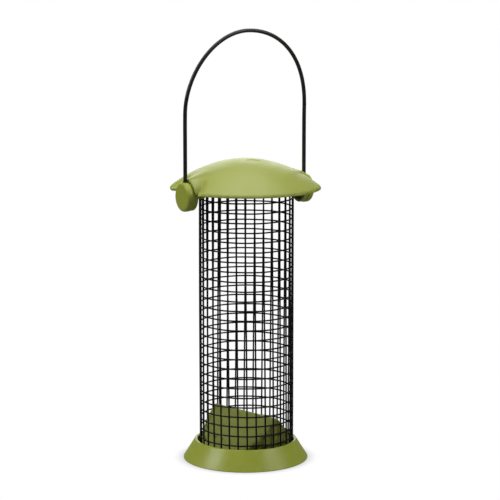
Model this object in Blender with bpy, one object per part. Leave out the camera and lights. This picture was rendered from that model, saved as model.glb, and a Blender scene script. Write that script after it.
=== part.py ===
# Hanging bird feeder: welded wire tube, conical foot, dome lid and a swinging wire bail.
# Metres, +Z up. The origin is the middle of the foot's underside and X is the bail's pivot axis.

import math

import bmesh
import bpy
from mathutils import Matrix, Vector

MM = 0.001

# General clearances
SEAT_GAP = 0.3 * MM        # between pieces that touch
SLIDE_GAP = 0.6 * MM       # between pieces that slide or turn on each other
CUT_PAST = 2.0 * MM        # how far a cutter reaches past what it cuts

# Wire tube
UPRIGHT_COUNT = 31
UPRIGHT_RING_R = 30.5 * MM  # to the middle of the upright wires
UPRIGHT_TURN = math.radians(7.7)  # of the first upright from the bail's axis
UPRIGHT_D = 1.0 * MM
HOOP_D = 0.9 * MM
HOOP_COUNT = 28
HOOP_PITCH = 6.5 * MM
TUBE_END = 2.2 * MM         # upright length past the first and last hoop
SEAM_ANGLE = math.radians(-28.0)

# Foot
FOOT_R = 41.5 * MM
FOOT_LIP_H = 2.2 * MM
FOOT_H = 13.0 * MM
FOOT_RIM = 1.5 * MM         # wall of the socket at its top
FOOT_RIM_CHAMFER = 0.6 * MM
FOOT_WALL = 1.8 * MM
LEDGE_Z = 6.0 * MM          # the tube and the divider stand here
LEDGE_T = 2.0 * MM
LEDGE_W = 6.0 * MM

# Seed divider
RIDGE_Z = 31.0 * MM
RIDGE_ROUND = 2.0 * MM
HOLLOW_ROUND = 1.0 * MM     # crest of the hollow under the ridge
RIDGE_ANGLE = math.radians(-76.0)
DIVIDER_SLOPE = math.radians(45.0)
DIVIDER_WALL = 1.6 * MM
DIVIDER_FLOOR_T = 1.7 * MM
PLUG_DEPTH = 3.0 * MM
DRAIN_D = 1.6 * MM
DRAIN_COUNT = 4             # in a row on each slope
DRAIN_PITCH = 7.2 * MM
DRAIN_OUT = 17.7 * MM       # from the ridge, level

# Top collar
COLLAR_WALL = 1.5 * MM
COLLAR_TOP_T = 1.8 * MM
COLLAR_SKIRT = 6.7 * MM     # how far the collar reaches down over the tube
EAR_W = 12.0 * MM
EAR_T = 3.6 * MM
PIVOT_DROP = 5.2 * MM       # bail's axis below the tube's top
PIVOT_D = 7.0 * MM
PIVOT_FLANGE = 0.8 * MM     # ear material round the pivot stub

# Knobs
KNOB_INSET = 1.8 * MM       # knob's face inside the lid's rim
KNOB_T = 7.8 * MM
KNOB_D = 19.3 * MM
KNOB_EDGE = 1.3 * MM
KNOB_FACE_WALL = 1.9 * MM
KNOB_STEP = 0.5 * MM
KNOB_STEP_AT = 4.2 * MM     # behind the knob's face
KNOB_WIRE_AT = 3.0 * MM     # bail wire behind the knob's face

# Bail
BAIL_D = 2.2 * MM
BAIL_SEAT_DEPTH = 4.8 * MM  # how deep each wire end sits in its knob
BAIL_LEG = 55.0 * MM        # straight legs, from the bail's axis up
BAIL_RISE = 52.4 * MM       # the arch above the legs
BAIL_SQUARENESS = 2.15      # exponent of the arch, 2 is an ellipse

# Lid
LID_OVERHANG = 16.2 * MM    # lid's rim beyond the collar, room for the ears and the knobs
LID_DROP = 18.8 * MM        # from the crown to the dome's edge
LID_EDGE_RISE = 3.7 * MM    # dome's edge above the bail's axis
LID_WALL = 1.9 * MM
LID_RIM_H = 0.9 * MM
LID_RIM_W = 2.0 * MM
LID_RIM_ROUND = 0.6 * MM
LID_PLUG_DEPTH = 6.4 * MM
LID_PLUG_T = 1.6 * MM
HOOD_LENGTH = 17.0 * MM
HOOD_TAPER = math.radians(22.0)  # the hood narrows towards the knob
HOOD_EDGE = 1.2 * MM        # hood's wall at its end, over the back of the knob
SLOT_FLARE = math.radians(60.0)  # how far each side of the knob slot opens towards the rim

# Facets: round each turned piece, and along its curves
ROUND_STEPS = 48
LID_STEPS = 56
DOME_STEPS = 7              # along the dome, crown to rim
KNOB_STEPS = 28
KNOB_EDGE_STEPS = 3
HOOD_STEPS = 28
SMALL_STEPS = 16
SOCKET_STEPS = 12
DRAIN_STEPS = 8
WIRE_STEPS = 4
RIDGE_STEPS = 6
BAIL_STEPS = 40
BAIL_SIDE_STEPS = 2         # added between the quarters of the wire's section

# Worked-out places
HOOP_R = UPRIGHT_RING_R + UPRIGHT_D / 2 + SEAT_GAP + HOOP_D / 2
TUBE_OUT_R = HOOP_R + HOOP_D / 2
TUBE_IN_R = UPRIGHT_RING_R - UPRIGHT_D / 2
TUBE_BASE_Z = LEDGE_Z + SEAT_GAP
TUBE_TOP_Z = TUBE_BASE_Z + 2 * TUBE_END + (HOOP_COUNT - 1) * HOOP_PITCH
SOCKET_R = TUBE_OUT_R + SEAT_GAP
NECK_OUT_R = TUBE_IN_R - SEAT_GAP
NECK_IN_R = NECK_OUT_R - COLLAR_WALL
COLLAR_UNDER_Z = TUBE_TOP_Z + SEAT_GAP
COLLAR_TOP_Z = COLLAR_UNDER_Z + COLLAR_TOP_T
COLLAR_OUT_R = SOCKET_R + COLLAR_WALL
LID_R = COLLAR_OUT_R + LID_OVERHANG
PIVOT_Z = TUBE_TOP_Z - PIVOT_DROP
KNOB_IN_R = LID_R - KNOB_INSET - KNOB_T
BAIL_LEG_R = KNOB_IN_R + KNOB_T - KNOB_WIRE_AT
LID_SEAT_Z = COLLAR_TOP_Z + SEAT_GAP
SLOT_R = KNOB_IN_R - SLIDE_GAP
SLOT_HALF_W = KNOB_D / 2 + SLIDE_GAP
HOOD_END_R = KNOB_IN_R + KNOB_T - KNOB_STEP_AT - SEAT_GAP
LID_EDGE_Z = PIVOT_Z + LID_EDGE_RISE
LID_RIM_Z = LID_EDGE_Z - LID_RIM_H
CROWN_Z = LID_EDGE_Z + LID_DROP


def material(name, colour, roughness, metallic=0.0):
    made = bpy.data.materials.new(name)
    made.use_nodes = True
    shader = made.node_tree.nodes["Principled BSDF"]
    shader.inputs["Base Color"].default_value = (*colour, 1.0)
    shader.inputs["Roughness"].default_value = roughness
    shader.inputs["Metallic"].default_value = metallic
    return made


def new_object(name, bm, finish=None, smooth_angle=35.0):
    bmesh.ops.recalc_face_normals(bm, faces=bm.faces)
    mesh = bpy.data.meshes.new(name)
    bm.to_mesh(mesh)
    bm.free()
    mesh.shade_smooth()
    mesh.set_sharp_from_angle(angle=math.radians(smooth_angle))
    made = bpy.data.objects.new(name, mesh)
    bpy.context.scene.collection.objects.link(made)
    if finish:
        mesh.materials.append(finish)
    return made


def turned(bm, profile, steps):
    """Turns a closed (radius, height) outline about Z."""
    rings = []
    for r, z in profile:
        if r == 0.0:
            rings.append([bm.verts.new((0.0, 0.0, z))] * steps)
        else:
            turns = (2 * math.pi * i / steps for i in range(steps))
            rings.append([bm.verts.new((r * math.cos(a), r * math.sin(a), z)) for a in turns])
    for low, high in zip(rings, rings[1:] + rings[:1]):
        for i in range(steps):
            j = (i + 1) % steps
            corners = [low[i], low[j], high[j], high[i]]
            loop = [v for k, v in enumerate(corners) if v is not corners[k - 1]]
            if len(loop) > 2:
                bm.faces.new(loop)


def turned_object(name, profile, steps, finish=None):
    bm = bmesh.new()
    turned(bm, profile, steps)
    return new_object(name, bm, finish)


def rod(name, radius, start, end, steps, finish=None, end_radius=None):
    """A round bar between two points, straight or tapered."""
    bm = bmesh.new()
    start, end = Vector(start), Vector(end)
    along = end - start
    place = Matrix.Translation((start + end) / 2) @ along.to_track_quat("Z", "Y").to_matrix().to_4x4()
    bmesh.ops.create_cone(bm, cap_ends=True, segments=steps, radius1=radius,
                          radius2=end_radius or radius, depth=along.length, matrix=place)
    return new_object(name, bm, finish)


def block(name, low, high):
    bm = bmesh.new()
    low, high = Vector(low), Vector(high)
    sides = Matrix.Diagonal((*(high - low), 1.0))
    bmesh.ops.create_cube(bm, size=1.0, matrix=Matrix.Translation((low + high) / 2) @ sides)
    return new_object(name, bm)


def boolean(target, tool, operation):
    step = target.modifiers.new(f"{operation.lower()} {tool.name}", "BOOLEAN")
    step.operation = operation
    step.solver = "EXACT"
    step.object = tool
    tool.hide_render = True
    tool.display_type = "WIRE"


def cut(target, *tools):
    for tool in tools:
        boolean(target, tool, "DIFFERENCE")


def join(target, *tools):
    for tool in tools:
        boolean(target, tool, "UNION")


# Wire tube: uprights inside, hoops round them

def hoop_height(index):
    return TUBE_BASE_Z + TUBE_END + index * HOOP_PITCH


def hoop_ring(bm, radius, z):
    half = HOOP_D / 2
    outline = [(radius - half, z - half), (radius + half, z), (radius - half, z + half)]
    turned(bm, outline, UPRIGHT_COUNT)


def make_uprights(finish):
    """All the upright wires, welded to the first and last hoop."""
    bm = bmesh.new()
    for i in range(UPRIGHT_COUNT):
        turn = UPRIGHT_TURN + 2 * math.pi * i / UPRIGHT_COUNT
        middle = Vector((UPRIGHT_RING_R * math.cos(turn), UPRIGHT_RING_R * math.sin(turn),
                         (TUBE_BASE_Z + TUBE_TOP_Z) / 2))
        place = Matrix.Translation(middle) @ Matrix.Rotation(turn, 4, "Z")
        shape = Matrix.Diagonal((UPRIGHT_D, UPRIGHT_D, TUBE_TOP_Z - TUBE_BASE_Z, 1.0))
        bmesh.ops.create_cube(bm, size=1.0, matrix=place @ shape)
    uprights = new_object("mesh_uprights", bm, finish)
    welded_r = UPRIGHT_RING_R + UPRIGHT_D / 2
    for index in (0, HOOP_COUNT - 1):
        bm = bmesh.new()
        hoop_ring(bm, welded_r, hoop_height(index))
        join(uprights, new_object(f"end hoop {index}", bm))
    return uprights


def make_hoops(finish):
    """The other hoops, held by the upright at the sheet's lapped edge."""
    bm = bmesh.new()
    inner = range(1, HOOP_COUNT - 1)
    for index in inner:
        hoop_ring(bm, HOOP_R, hoop_height(index))
    hoops = new_object("mesh_hoops", bm, finish)
    foot = Vector((HOOP_R * math.cos(SEAM_ANGLE), HOOP_R * math.sin(SEAM_ANGLE),
                   hoop_height(inner[0]) - TUBE_END))
    top = foot.copy()
    top.z = hoop_height(inner[-1]) + TUBE_END
    join(hoops, rod("seam upright", UPRIGHT_D / 2, foot, top, WIRE_STEPS))
    return hoops


# Foot and divider

def make_foot(finish):
    rim_r = SOCKET_R + FOOT_RIM
    slope = (FOOT_R - rim_r) / (FOOT_H - FOOT_LIP_H)
    inner_r = SOCKET_R + FOOT_WALL
    skin = FOOT_WALL * math.hypot(1.0, slope)
    skirt_r = FOOT_R - skin
    meet_z = FOOT_LIP_H + (skirt_r - inner_r) / slope
    ledge_in_r = SOCKET_R - LEDGE_W
    under_z = LEDGE_Z - LEDGE_T
    soft = FOOT_RIM_CHAMFER
    profile = [
        (FOOT_R, 0.0), (FOOT_R, FOOT_LIP_H), (rim_r, FOOT_H - soft), (rim_r - soft, FOOT_H),
        (SOCKET_R + soft, FOOT_H), (SOCKET_R, FOOT_H - soft), (SOCKET_R, LEDGE_Z),
        (ledge_in_r, LEDGE_Z), (ledge_in_r, under_z), (inner_r, under_z),
        (inner_r, meet_z), (skirt_r, FOOT_LIP_H), (skirt_r, 0.0),
    ]
    return turned_object("base_foot", profile, ROUND_STEPS, finish)


def ridge_prism(name, ridge_z, base_z, roundness):
    """A long roof with a rounded ridge, turned to the divider's direction."""
    fall = math.tan(DIVIDER_SLOPE)
    half_w = (ridge_z + roundness * (1 / math.cos(DIVIDER_SLOPE) - 1) - base_z) / fall
    centre_z = ridge_z - roundness
    arc = [math.pi / 2 - DIVIDER_SLOPE * (1 - 2 * i / RIDGE_STEPS) for i in range(RIDGE_STEPS + 1)]
    outline = [(half_w, base_z)]
    outline += [(roundness * math.cos(a), centre_z + roundness * math.sin(a)) for a in arc]
    outline += [(-half_w, base_z)]
    reach = NECK_OUT_R + CUT_PAST
    bm = bmesh.new()
    face = bm.faces.new([bm.verts.new((-reach, y, z)) for y, z in outline])
    pushed = bmesh.ops.extrude_face_region(bm, geom=[face])["geom"]
    moved = [v for v in pushed if isinstance(v, bmesh.types.BMVert)]
    bmesh.ops.translate(bm, verts=moved, vec=(2 * reach, 0.0, 0.0))
    bmesh.ops.rotate(bm, verts=bm.verts, matrix=Matrix.Rotation(RIDGE_ANGLE, 3, "Z"))
    return new_object(name, bm)


def make_divider(finish):
    """A hollow roof that sheds seed to both sides, on a floor plate that plugs into the foot."""
    out_r = NECK_OUT_R
    floor_z = LEDGE_Z + SEAT_GAP
    top_z = floor_z + DIVIDER_FLOOR_T
    plug_out_r = SOCKET_R - LEDGE_W - SEAT_GAP
    plug_in_r = plug_out_r - DIVIDER_WALL
    divider = rod("seed_divider", out_r, (0, 0, floor_z), (0, 0, RIDGE_Z + RIDGE_ROUND), ROUND_STEPS,
                  finish)
    roof = ridge_prism("roof outline", RIDGE_Z, floor_z - SEAT_GAP, RIDGE_ROUND)
    plate = rod("floor outline", out_r + CUT_PAST, (0, 0, floor_z - PLUG_DEPTH), (0, 0, top_z), ROUND_STEPS)
    join(roof, plate)
    boolean(divider, roof, "INTERSECT")
    hollow_top = RIDGE_Z - DIVIDER_WALL / math.cos(DIVIDER_SLOPE)
    hollow = ridge_prism("roof hollow", hollow_top, floor_z - PLUG_DEPTH, HOLLOW_ROUND)
    bore = rod("hollow outline", plug_in_r - SEAT_GAP, (0, 0, floor_z - PLUG_DEPTH / 2), (0, 0, RIDGE_Z),
               ROUND_STEPS)
    boolean(bore, hollow, "INTERSECT")
    plug = turned_object("plug ring", [
        (plug_in_r, floor_z - PLUG_DEPTH), (plug_out_r, floor_z - PLUG_DEPTH),
        (plug_out_r, top_z - SEAT_GAP), (plug_in_r, top_z - SEAT_GAP)], ROUND_STEPS)
    join(divider, plug)
    cut(divider, bore)
    turn = Matrix.Rotation(RIDGE_ANGLE, 3, "Z")
    for out in (-DRAIN_OUT, DRAIN_OUT):
        for i in range(DRAIN_COUNT):
            at = turn @ Vector(((i - (DRAIN_COUNT - 1) / 2) * DRAIN_PITCH, out, RIDGE_Z))
            below = Vector((at.x, at.y, floor_z))
            cut(divider, rod(f"drain {i} {'left' if out > 0 else 'right'}", DRAIN_D / 2, below, at, DRAIN_STEPS))
    return divider


# Collar with the pivot stubs

def make_collar(finish):
    low_z = COLLAR_UNDER_Z - COLLAR_SKIRT
    collar = turned_object("top_collar", [
        (SOCKET_R, low_z), (COLLAR_OUT_R, low_z), (COLLAR_OUT_R, COLLAR_TOP_Z),
        (NECK_IN_R, COLLAR_TOP_Z), (NECK_IN_R, low_z), (NECK_OUT_R, low_z),
        (NECK_OUT_R, COLLAR_UNDER_Z), (SOCKET_R, COLLAR_UNDER_Z)], ROUND_STEPS, finish)
    ear_low = PIVOT_Z - PIVOT_D / 2 - PIVOT_FLANGE
    stub_end = KNOB_IN_R + KNOB_T - KNOB_FACE_WALL - SLIDE_GAP
    for side in (-1, 1):
        near, far = sorted((side * (SOCKET_R - EAR_T), side * (SOCKET_R + EAR_T)))
        ear = block(f"ear {side}", (near, -EAR_W / 2, ear_low), (far, EAR_W / 2, COLLAR_TOP_Z - SEAT_GAP))
        cut(ear, rod(f"ear relief {side}", SOCKET_R + SEAT_GAP, (0, 0, ear_low - CUT_PAST),
                     (0, 0, COLLAR_TOP_Z), ROUND_STEPS))
        join(collar, ear)
        join(collar, rod(f"pivot stub {side}", PIVOT_D / 2, (side * (SOCKET_R + EAR_T / 2), 0, PIVOT_Z),
                         (side * stub_end, 0, PIVOT_Z), SMALL_STEPS))
    return collar


# Bail and its knobs

def make_knob(name, side, pivot, finish):
    """A turned disc with a round front edge, a blind bore for the pivot stub and a wire socket."""
    r = KNOB_D / 2
    profile = [(0.0, KNOB_T)]
    for i in range(KNOB_EDGE_STEPS + 1):
        turn = math.pi / 2 * (1 - i / KNOB_EDGE_STEPS)
        profile.append((r - KNOB_EDGE + KNOB_EDGE * math.cos(turn),
                        KNOB_T - KNOB_EDGE + KNOB_EDGE * math.sin(turn)))
    profile += [(r, KNOB_T - KNOB_STEP_AT), (r - KNOB_STEP, KNOB_T - KNOB_STEP_AT),
                (r - KNOB_STEP, KNOB_STEP), (r - 2 * KNOB_STEP, 0.0)]
    bore_r = PIVOT_D / 2 + SLIDE_GAP / 2
    bore_top = KNOB_T - KNOB_FACE_WALL
    profile += [(bore_r, 0.0), (bore_r, bore_top), (0.0, bore_top)]
    knob = turned_object(name, profile, KNOB_STEPS, finish)
    socket_r = BAIL_D / 2 + SEAT_GAP
    socket_floor = r - BAIL_SEAT_DEPTH - SEAT_GAP
    to_wire = KNOB_T - KNOB_WIRE_AT
    # The knob is turned with its axis upright, so the wire socket lies along -X until it is placed.
    socket = rod(f"{name} wire socket", socket_r, (-socket_floor, 0, to_wire), (-r - CUT_PAST, 0, to_wire),
                 SOCKET_STEPS)
    socket.parent = knob
    cut(knob, socket)
    knob.parent = pivot
    knob.location = (side * KNOB_IN_R, 0, 0)
    knob.rotation_euler = (0, math.pi / 2, 0) if side > 0 else (0, math.pi / 2, math.pi)
    return knob


def make_bail(pivot, finish):
    """One bent wire: straight legs and a squarish arch, in heights above the pivot."""
    leg_low = KNOB_D / 2 - BAIL_SEAT_DEPTH
    points = [(-BAIL_LEG_R, leg_low)]
    for i in range(BAIL_STEPS + 1):
        turn = math.pi * (1 - i / BAIL_STEPS)
        c, s = math.cos(turn), max(math.sin(turn), 0.0)
        bent = 2 / BAIL_SQUARENESS
        points.append((math.copysign(abs(c) ** bent, c) * BAIL_LEG_R, BAIL_LEG + BAIL_RISE * s ** bent))
    points.append((BAIL_LEG_R, leg_low))
    curve = bpy.data.curves.new("handle_wire", "CURVE")
    curve.dimensions = "3D"
    curve.bevel_depth = BAIL_D / 2
    curve.bevel_resolution = BAIL_SIDE_STEPS
    curve.use_fill_caps = True
    line = curve.splines.new("POLY")
    line.points.add(len(points) - 1)
    for point, (x, z) in zip(line.points, points):
        point.co = (x, 0.0, z, 1.0)
    curve.materials.append(finish)
    wire = bpy.data.objects.new("handle_wire", curve)
    bpy.context.scene.collection.objects.link(wire)
    wire.parent = pivot
    return wire


# Lid

def dome_z(r):
    return CROWN_Z - LID_DROP * (r / LID_R) ** 2


def dome_outline(drop, reach, steps):
    """Points of the dome from the axis out to a radius, lowered by the wall."""
    return [(reach * i / steps, dome_z(reach * i / steps) - drop) for i in range(steps + 1)]


def hood(name, side, grow):
    """A cone lying over the pivot stub; it comes out of the dome and narrows to the back of the knob."""
    end_r = SLOT_HALF_W + HOOD_EDGE + grow
    start_r = end_r + HOOD_LENGTH * math.tan(HOOD_TAPER)
    return rod(name, start_r, (side * (HOOD_END_R - HOOD_LENGTH), 0, PIVOT_Z), (side * HOOD_END_R, 0, PIVOT_Z),
               HOOD_STEPS, end_radius=end_r)


def prism(name, outline, along):
    """A closed outline of points carried along a vector."""
    bm = bmesh.new()
    near = [bm.verts.new(point) for point in outline]
    far = [bm.verts.new(Vector(point) + Vector(along)) for point in outline]
    bm.faces.new(near)
    bm.faces.new(far)
    for i in range(len(outline)):
        bm.faces.new([near[i - 1], near[i], far[i], far[i - 1]])
    return new_object(name, bm)


def knob_slot(name, side):
    """A cutter from the hood's end to the rim, opening outwards."""
    far_x = LID_R + CUT_PAST
    far_w = SLOT_HALF_W + (far_x - HOOD_END_R) * math.tan(SLOT_FLARE)
    outline = [(HOOD_END_R, -SLOT_HALF_W), (far_x, -far_w), (far_x, far_w), (HOOD_END_R, SLOT_HALF_W)]
    low_z, high_z = LID_RIM_Z - CUT_PAST, CROWN_Z + CUT_PAST
    return prism(name, [(side * x, y, low_z) for x, y in outline], (0, 0, high_z - low_z))


def knob_room(name, side):
    """A cutter for the back of the knob: round over it and open below, so that the lid lifts off."""
    turns = [math.pi * i / KNOB_STEPS for i in range(KNOB_STEPS + 1)]
    outline = [(SLOT_HALF_W * math.cos(a), PIVOT_Z + SLOT_HALF_W * math.sin(a)) for a in turns]
    low_z = LID_RIM_Z - KNOB_D
    outline = [(SLOT_HALF_W, low_z)] + outline + [(-SLOT_HALF_W, low_z)]
    return prism(name, [(side * SLOT_R, y, z) for y, z in outline], (side * (HOOD_END_R + CUT_PAST - SLOT_R), 0, 0))


def make_lid(finish):
    rim_in_r = LID_R - LID_RIM_W
    soft = LID_RIM_ROUND
    outer = dome_outline(0.0, LID_R - soft, DOME_STEPS)
    outer += [(LID_R, LID_EDGE_Z), (LID_R, LID_RIM_Z + soft), (LID_R - soft, LID_RIM_Z), (0.0, LID_RIM_Z)]
    lid = turned_object("lid", outer, LID_STEPS, finish)
    high_z = CROWN_Z + CUT_PAST
    deep_z = LID_RIM_Z - CUT_PAST
    hollow = turned_object("lid hollow", dome_outline(LID_WALL, rim_in_r, DOME_STEPS)
                           + [(rim_in_r, deep_z), (0.0, deep_z)], LID_STEPS)
    for side in (-1, 1):
        shoulder = hood(f"hood {side}", side, 0.0)
        boolean(shoulder, rod(f"hood outline {side}", LID_R - LID_RIM_H, (0, 0, LID_RIM_Z + soft), (0, 0, high_z),
                              ROUND_STEPS), "INTERSECT")
        join(lid, shoulder)
        inside = hood(f"hood hollow {side}", side, -LID_WALL)
        boolean(inside, rod(f"hood inner outline {side}", rim_in_r - SEAT_GAP, (0, 0, deep_z - CUT_PAST),
                            (0, 0, high_z), ROUND_STEPS), "INTERSECT")
        join(hollow, inside)
        near, far = sorted((side * (SLOT_R - LID_WALL), side * (LID_R + CUT_PAST)))
        half = SLOT_HALF_W + LID_WALL
        cut(hollow, block(f"slot wall {side}", (near, -half, deep_z - CUT_PAST), (far, half, high_z)))
    cut(lid, hollow)
    plug_out_r = NECK_IN_R - SLIDE_GAP
    plug_in_r = plug_out_r - LID_PLUG_T
    seat_out_r = COLLAR_OUT_R - COLLAR_WALL
    into_dome = LID_WALL / 2
    plug = turned_object("lid plug", [
        (plug_in_r, dome_z(plug_in_r) - into_dome), (plug_in_r, LID_SEAT_Z - LID_PLUG_DEPTH),
        (plug_out_r, LID_SEAT_Z - LID_PLUG_DEPTH), (plug_out_r, LID_SEAT_Z),
        (seat_out_r, LID_SEAT_Z), (seat_out_r, dome_z(seat_out_r) - into_dome)], ROUND_STEPS)
    join(lid, plug)
    for side in (-1, 1):
        cut(lid, knob_slot(f"knob slot {side}", side), knob_room(f"knob room {side}", side))
        # A notch open below lets the lid lift off over the pivot stub.
        near, far = sorted((side * (SLOT_R - LID_WALL - CUT_PAST), side * (SLOT_R + CUT_PAST)))
        half = PIVOT_D / 2 + SLIDE_GAP
        cut(lid, block(f"stub notch {side}", (near, -half, LID_RIM_Z - CUT_PAST), (far, half, PIVOT_Z + half)))
    return lid


def main():
    for old in list(bpy.data.objects):
        bpy.data.objects.remove(old, do_unlink=True)
    green = material("green moulded plastic", (0.36, 0.41, 0.10), 0.42)
    dark_green = material("green moulded plastic, foot", (0.25, 0.30, 0.06), 0.45)
    black = material("black coated wire", (0.012, 0.012, 0.013), 0.4)
    make_uprights(black)
    make_hoops(black)
    make_foot(dark_green)
    make_divider(dark_green)
    make_collar(dark_green)
    make_lid(green)
    pivot = bpy.data.objects.new("bail pivot", None)
    pivot.location = (0, 0, PIVOT_Z)
    bpy.context.scene.collection.objects.link(pivot)
    make_knob("knob_left", -1, pivot, dark_green)
    make_knob("knob_right", 1, pivot, dark_green)
    make_bail(pivot, black)
    bpy.context.view_layer.update()


main()
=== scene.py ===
import math

import bpy
import numpy as np
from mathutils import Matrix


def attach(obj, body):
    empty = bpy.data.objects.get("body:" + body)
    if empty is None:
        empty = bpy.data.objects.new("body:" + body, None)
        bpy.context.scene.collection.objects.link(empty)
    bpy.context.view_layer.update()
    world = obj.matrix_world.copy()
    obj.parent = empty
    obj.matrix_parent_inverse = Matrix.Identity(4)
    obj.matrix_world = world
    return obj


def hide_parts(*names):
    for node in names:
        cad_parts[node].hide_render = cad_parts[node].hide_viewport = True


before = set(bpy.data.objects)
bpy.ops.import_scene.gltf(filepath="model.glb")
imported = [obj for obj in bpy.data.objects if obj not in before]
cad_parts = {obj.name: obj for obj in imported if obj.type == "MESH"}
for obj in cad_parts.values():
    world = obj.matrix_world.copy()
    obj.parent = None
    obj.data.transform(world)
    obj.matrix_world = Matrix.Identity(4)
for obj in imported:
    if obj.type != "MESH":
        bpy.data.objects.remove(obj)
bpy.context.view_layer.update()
mm = 0.001
pivotZ = 181.0  # height of the bail's axis, in millimetres as all sizes below
dice = np.random.default_rng(7)  # small hand-made unevenness, the same each run
print("frame loaded")


# Surfaces from grids

def gridFaces(rows, cols, closedRows, closedCols):
    # corner numbers of the cells of a rows x cols grid, wrapped where a direction is closed
    index = np.arange(rows * cols).reshape(rows, cols)
    here = index if closedRows else index[:-1]
    there = np.roll(index, -1, 0) if closedRows else index[1:]
    if closedCols:
        right = np.roll(here, -1, 1), np.roll(there, -1, 1)
    else:
        right = here[:, 1:], there[:, 1:]
        here, there = here[:, :-1], there[:, :-1]
    return np.stack([here, right[0], right[1], there], -1).reshape(-1, 4)


def putMesh(name, points, faces, sharpAngle=38.0, retintMask=None):
    # welds equal points, drops the corners that fall together at a pole, and turns the skin outwards
    flat = np.round(points.reshape(-1, 3), 8) + 0.0
    spots, first, where = np.unique(flat, axis=0, return_index=True, return_inverse=True)
    corners = where.reshape(-1)[faces]
    volume = (np.cross(spots[corners[:, 0]], spots[corners[:, 1]]) * spots[corners[:, 2]]).sum()
    volume += (np.cross(spots[corners[:, 0]], spots[corners[:, 2]]) * spots[corners[:, 3]]).sum()
    if volume < 0:
        corners = corners[:, ::-1]
    keep = corners != np.roll(corners, 1, axis=1)
    whole = keep.sum(1) > 2
    corners, keep = corners[whole], keep[whole]
    count = keep.sum(1)
    mesh = bpy.data.meshes.new(name)
    mesh.vertices.add(len(spots))
    mesh.vertices.foreach_set("co", spots.astype(np.float32).ravel())
    mesh.loops.add(int(count.sum()))
    mesh.loops.foreach_set("vertex_index", corners[keep].astype(np.int32))
    mesh.polygons.add(len(count))
    mesh.polygons.foreach_set("loop_start", (np.cumsum(count) - count).astype(np.int32))
    mesh.update(calc_edges=True)
    mesh.validate()
    mesh.shade_smooth()
    mesh.set_sharp_from_angle(angle=math.radians(sharpAngle))
    if retintMask is not None:
        layer = mesh.attributes.new("retintMask", "FLOAT", "POINT")
        layer.data.foreach_set("value", retintMask.reshape(-1)[first].astype(np.float32))
    piece = bpy.data.objects.new(name, mesh)
    bpy.context.scene.collection.objects.link(piece)
    return piece


def softCorners(corners, radii, steps=6):
    # a polygon whose corners are arcs
    # each arc's centre lies on the corner's bisector, radius / sin(half) away
    at = np.array(corners, float)
    radii = np.array(radii, float)[:, None]
    toLast = np.roll(at, 1, 0) - at
    toNext = np.roll(at, -1, 0) - at
    toLast /= np.linalg.norm(toLast, axis=1, keepdims=True)
    toNext /= np.linalg.norm(toNext, axis=1, keepdims=True)
    half = np.arccos(np.clip((toLast * toNext).sum(1), -1, 1))[:, None] / 2
    middle = toLast + toNext
    middle /= np.maximum(np.linalg.norm(middle, axis=1, keepdims=True), 1e-9)
    centre = at + middle * radii / np.sin(half)
    start = at + toLast * radii / np.tan(half) - centre
    end = at + toNext * radii / np.tan(half) - centre
    angle = np.arctan2(start[:, 1], start[:, 0])[:, None]
    sweep = np.arctan2(end[:, 1], end[:, 0])[:, None] - angle
    sweep = (sweep + np.pi) % (2 * np.pi) - np.pi
    turn = angle + sweep * np.linspace(0, 1, steps)
    arcs = centre[:, None] + radii[:, None] * np.stack([np.cos(turn), np.sin(turn)], -1)
    return arcs.reshape(-1, 2)


def evenly(line, count):
    # the same polyline with its points at even distances
    length = np.concatenate([[0], np.cumsum(np.linalg.norm(np.diff(line, axis=0), axis=1))])
    spread = np.linspace(0, length[-1], count)
    return np.stack([np.interp(spread, length, line[:, k]) for k in range(line.shape[1])], -1)


def turned(outline, steps):
    # an outline of (radius, height) points carried round the upright axis
    turn = np.linspace(0, 2 * np.pi, steps, endpoint=False)
    radius, height = outline[:, 0, None], outline[:, 1, None]
    return np.stack([radius * np.cos(turn), radius * np.sin(turn), height + 0 * turn], -1)


def wire(path, radius, sides):
    # a circle carried along a path: the circle's frame is the path's direction and a fixed side vector
    fixed = [0.13, 0.21, 1.0]  # no path here runs along it
    ahead = np.gradient(path, axis=-2)
    ahead /= np.linalg.norm(ahead, axis=-1, keepdims=True)
    up = np.cross(ahead, np.cross(fixed, ahead))
    up /= np.linalg.norm(up, axis=-1, keepdims=True)
    side = np.cross(ahead, up)
    turn = np.linspace(0, 2 * np.pi, sides, endpoint=False)[:, None]
    ring = np.cos(turn) * up[..., None, :] + np.sin(turn) * side[..., None, :]
    return path[..., None, :] + ring * np.asarray(radius)[..., None, None]


def bluntEnds(path, radius, soften):
    # adds the two end caps: the radius falls to nothing at each end over a short rounded nose
    swell = np.array([0.0, 0.5, 0.85, 1.0])
    inwards = np.array([0.0, 0.12, 0.45, 1.0])
    start = path[..., :1, :]
    end = path[..., -1:, :]
    firstStep = path[..., 1:2, :] - start
    lastStep = end - path[..., -2:-1, :]
    firstStep = firstStep / np.linalg.norm(firstStep, axis=-1, keepdims=True)
    lastStep = lastStep / np.linalg.norm(lastStep, axis=-1, keepdims=True)
    reach = soften * inwards[:, None]
    head = start + firstStep * reach
    tail = end - lastStep * reach[::-1]
    full = np.concatenate([head, path[..., 2:-2, :], tail], axis=-2)
    sizes = np.ones(full.shape[:-1]) * radius
    sizes[..., :len(swell)] *= swell
    sizes[..., -len(swell):] *= swell[::-1]
    return full, sizes


def wireBundle(name, paths, radius, sides, soften):
    # many open wires as one piece: grid cells of every wire, with the wires' corner numbers one after another
    full, sizes = bluntEnds(paths, radius, soften)
    skin = wire(full, sizes, sides)
    wires, along = skin.shape[:2]
    oneWire = gridFaces(along, sides, False, True)
    faces = (np.arange(wires)[:, None, None] * along * sides + oneWire).reshape(-1, 4)
    return putMesh(name, skin, faces)


def smooth(low, high, x):
    # rises from 0 at low to 1 at high, level at both ends
    t = np.clip((x - low) / (high - low), 0, 1)
    return t * t * (3 - 2 * t)


# Finishes

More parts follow.
